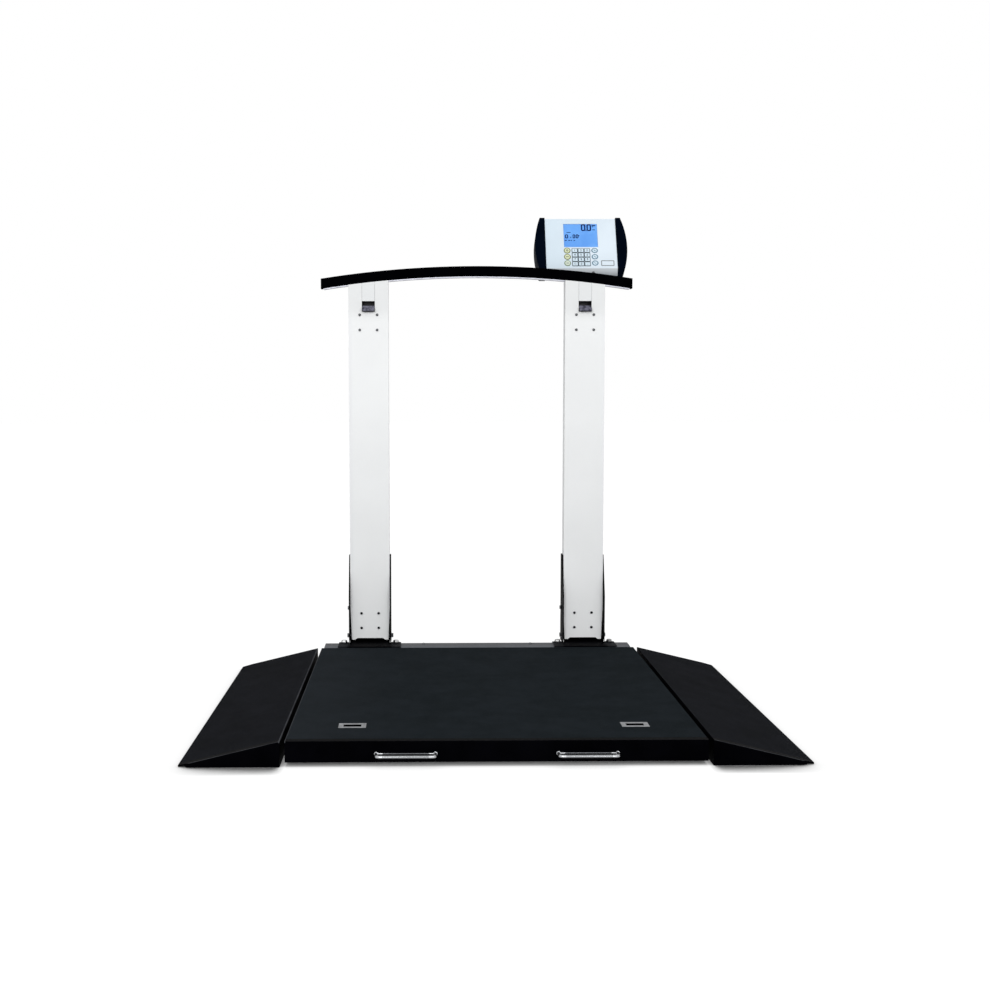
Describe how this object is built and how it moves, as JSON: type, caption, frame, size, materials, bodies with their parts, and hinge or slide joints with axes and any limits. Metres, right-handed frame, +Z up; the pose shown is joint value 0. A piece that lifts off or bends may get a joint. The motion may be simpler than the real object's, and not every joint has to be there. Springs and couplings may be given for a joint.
{
  "type": "wheelchair scale",
  "caption": "Low weighing platform with side ramps and a folding frame of columns with an arched handrail, which carries a tilting weight indicator with a keypad.",
  "frame": {"origin": "on the floor, in the middle of the bounding box", "axes": "+X to the right seen from the front, +Y to the rear, +Z up"},
  "size_m": [1.376, 1.2932, 1.3286],
  "materials": {
    "deck_paint": "fine textured powder coat",
    "black_paint": "semi-gloss powder coat",
    "rail_paint": "satin powder coat",
    "white_paint": "smooth powder coat",
    "steel": "brushed",
    "alloy": "satin",
    "chrome": "polished",
    "tyre": "moulded",
    "grip_rubber": "matte",
    "strip": "satin",
    "box_plastic": "moulded",
    "cap_plastic": "fine grain",
    "case_plastic": "satin film",
    "display": "backlit display window",
    "key_plastic": "embossed film"
  },
  "bodies": {
    "base": {"platform_deck": "deck_paint", "junction_box": "box_plastic", "rear_rail": "rail_paint", "load_cell_front_left": "alloy", "load_cell_front_right": "alloy", "load_cell_rear_left": "alloy", "load_cell_rear_right": "alloy", "levelling_foot_front_left": "steel", "levelling_foot_front_right": "steel", "levelling_foot_rear_left": "steel", "levelling_foot_rear_right": "steel", "strike_plate_left": "steel", "front_handle_left": "chrome", "column_bracket_left": "black_paint", "pivot_bolt_left": "steel", "strike_plate_right": "steel", "front_handle_right": "chrome", "column_bracket_right": "black_paint", "pivot_bolt_right": "steel"},
    "column_frame": {"handrail_grip": "grip_rubber", "handrail_strip": "strip", "indicator_bracket": "black_paint", "tilt_bolt": "steel", "column_left": "white_paint", "lock_block_left": "steel", "latch_housing_left": "white_paint", "column_right": "white_paint", "lock_block_right": "steel", "latch_housing_right": "white_paint"},
    "ramp_left": {"ramp_left": "deck_paint"},
    "wheel_left": {"transport_wheel_left": "tyre"},
    "lock_pin_left": {"lock_pin_left": "steel"},
    "latch_left": {"latch_hook_left": "steel"},
    "ramp_right": {"ramp_right": "deck_paint"},
    "wheel_right": {"transport_wheel_right": "tyre"},
    "lock_pin_right": {"lock_pin_right": "steel"},
    "latch_right": {"latch_hook_right": "steel"},
    "indicator": {"indicator_front_case": "case_plastic", "indicator_back_case": "case_plastic", "indicator_end_cap_left": "cap_plastic", "indicator_end_cap_right": "cap_plastic", "display_module": "display"},
    "key_clear": {"key_clear": "key_plastic"},
    "key_0": {"key_0": "key_plastic"},
    "key_point": {"key_point": "key_plastic"},
    "key_7": {"key_7": "key_plastic"},
    "key_8": {"key_8": "key_plastic"},
    "key_9": {"key_9": "key_plastic"},
    "key_4": {"key_4": "key_plastic"},
    "key_5": {"key_5": "key_plastic"},
    "key_6": {"key_6": "key_plastic"},
    "key_1": {"key_1": "key_plastic"},
    "key_2": {"key_2": "key_plastic"},
    "key_3": {"key_3": "key_plastic"},
    "key_tare": {"key_tare": "key_plastic"},
    "key_zero": {"key_zero": "key_plastic"},
    "key_power": {"key_power": "key_plastic"},
    "key_enter": {"key_enter": "key_plastic"},
    "key_hold": {"key_hold": "key_plastic"},
    "key_units": {"key_units": "key_plastic"}
  },
  "joints": [
    {"name": "frame_fold", "type": "hinge", "parent": "base", "child": "column_frame", "pos_m": [0, 0.4877, 0.078], "axis": [1, 0, 0], "range_deg": [0, 90]},
    {"name": "ramp_lift_left", "type": "slide", "parent": "base", "child": "ramp_left", "axis": [0, 0, 1], "range_m": [0, 0.012]},
    {"name": "wheel_spin_left", "type": "hinge", "parent": "base", "child": "wheel_left", "pos_m": [-0.43, 0.5027, 0.029], "axis": [1, 0, 0], "continuous": true},
    {"name": "lock_pull_left", "type": "slide", "parent": "base", "child": "lock_pin_left", "axis": [-1, 0, 0], "range_m": [0, 0.008], "stiffness_N_per_m": 800, "springref_m": -0.005},
    {"name": "latch_slide_left", "type": "slide", "parent": "column_frame", "child": "latch_left", "axis": [0, 0, 1], "range_m": [0, 0.006], "stiffness_N_per_m": 500, "springref_m": -0.006},
    {"name": "ramp_lift_right", "type": "slide", "parent": "base", "child": "ramp_right", "axis": [0, 0, 1], "range_m": [0, 0.012]},
    {"name": "wheel_spin_right", "type": "hinge", "parent": "base", "child": "wheel_right", "pos_m": [0.43, 0.5027, 0.029], "axis": [1, 0, 0], "continuous": true},
    {"name": "lock_pull_right", "type": "slide", "parent": "base", "child": "lock_pin_right", "axis": [-1, 0, 0], "range_m": [0, 0.008], "stiffness_N_per_m": 800, "springref_m": -0.005},
    {"name": "latch_slide_right", "type": "slide", "parent": "column_frame", "child": "latch_right", "axis": [0, 0, 1], "range_m": [0, 0.006], "stiffness_N_per_m": 500, "springref_m": -0.006},
    {"name": "indicator_tilt", "type": "hinge", "parent": "column_frame", "child": "indicator", "pos_m": [0.3155, 0.55666, 1.13194], "axis": [1, 0, 0], "range_deg": [-20, 10]},
    {"name": "key_clear_press", "type": "slide", "parent": "indicator", "child": "key_clear", "axis": [0, 0.9063, -0.4226], "range_m": [0, 0.0008], "stiffness_N_per_m": 1500},
    {"name": "key_0_press", "type": "slide", "parent": "indicator", "child": "key_0", "axis": [0, 0.9063, -0.4226], "range_m": [0, 0.0008], "stiffness_N_per_m": 1500},
    {"name": "key_point_press", "type": "slide", "parent": "indicator", "child": "key_point", "axis": [0, 0.9063, -0.4226], "range_m": [0, 0.0008], "stiffness_N_per_m": 1500},
    {"name": "key_7_press", "type": "slide", "parent": "indicator", "child": "key_7", "axis": [0, 0.9063, -0.4226], "range_m": [0, 0.0008], "stiffness_N_per_m": 1500},
    {"name": "key_8_press", "type": "slide", "parent": "indicator", "child": "key_8", "axis": [0, 0.9063, -0.4226], "range_m": [0, 0.0008], "stiffness_N_per_m": 1500},
    {"name": "key_9_press", "type": "slide", "parent": "indicator", "child": "key_9", "axis": [0, 0.9063, -0.4226], "range_m": [0, 0.0008], "stiffness_N_per_m": 1500},
    {"name": "key_4_press", "type": "slide", "parent": "indicator", "child": "key_4", "axis": [0, 0.9063, -0.4226], "range_m": [0, 0.0008], "stiffness_N_per_m": 1500},
    {"name": "key_5_press", "type": "slide", "parent": "indicator", "child": "key_5", "axis": [0, 0.9063, -0.4226], "range_m": [0, 0.0008], "stiffness_N_per_m": 1500},
    {"name": "key_6_press", "type": "slide", "parent": "indicator", "child": "key_6", "axis": [0, 0.9063, -0.4226], "range_m": [0, 0.0008], "stiffness_N_per_m": 1500},
    {"name": "key_1_press", "type": "slide", "parent": "indicator", "child": "key_1", "axis": [0, 0.9063, -0.4226], "range_m": [0, 0.0008], "stiffness_N_per_m": 1500},
    {"name": "key_2_press", "type": "slide", "parent": "indicator", "child": "key_2", "axis": [0, 0.9063, -0.4226], "range_m": [0, 0.0008], "stiffness_N_per_m": 1500},
    {"name": "key_3_press", "type": "slide", "parent": "indicator", "child": "key_3", "axis": [0, 0.9063, -0.4226], "range_m": [0, 0.0008], "stiffness_N_per_m": 1500},
    {"name": "key_tare_press", "type": "slide", "parent": "indicator", "child": "key_tare", "axis": [0, 0.9063, -0.4226], "range_m": [0, 0.0008], "stiffness_N_per_m": 1500},
    {"name": "key_zero_press", "type": "slide", "parent": "indicator", "child": "key_zero", "axis": [0, 0.9063, -0.4226], "range_m": [0, 0.0008], "stiffness_N_per_m": 1500},
    {"name": "key_power_press", "type": "slide", "parent": "indicator", "child": "key_power", "axis": [0, 0.9063, -0.4226], "range_m": [0, 0.0008], "stiffness_N_per_m": 1500},
    {"name": "key_enter_press", "type": "slide", "parent": "indicator", "child": "key_enter", "axis": [0, 0.9063, -0.4226], "range_m": [0, 0.0008], "stiffness_N_per_m": 1500},
    {"name": "key_hold_press", "type": "slide", "parent": "indicator", "child": "key_hold", "axis": [0, 0.9063, -0.4226], "range_m": [0, 0.0008], "stiffness_N_per_m": 1500},
    {"name": "key_units_press", "type": "slide", "parent": "indicator", "child": "key_units", "axis": [0, 0.9063, -0.4226], "range_m": [0, 0.0008], "stiffness_N_per_m": 1500}
  ]
}
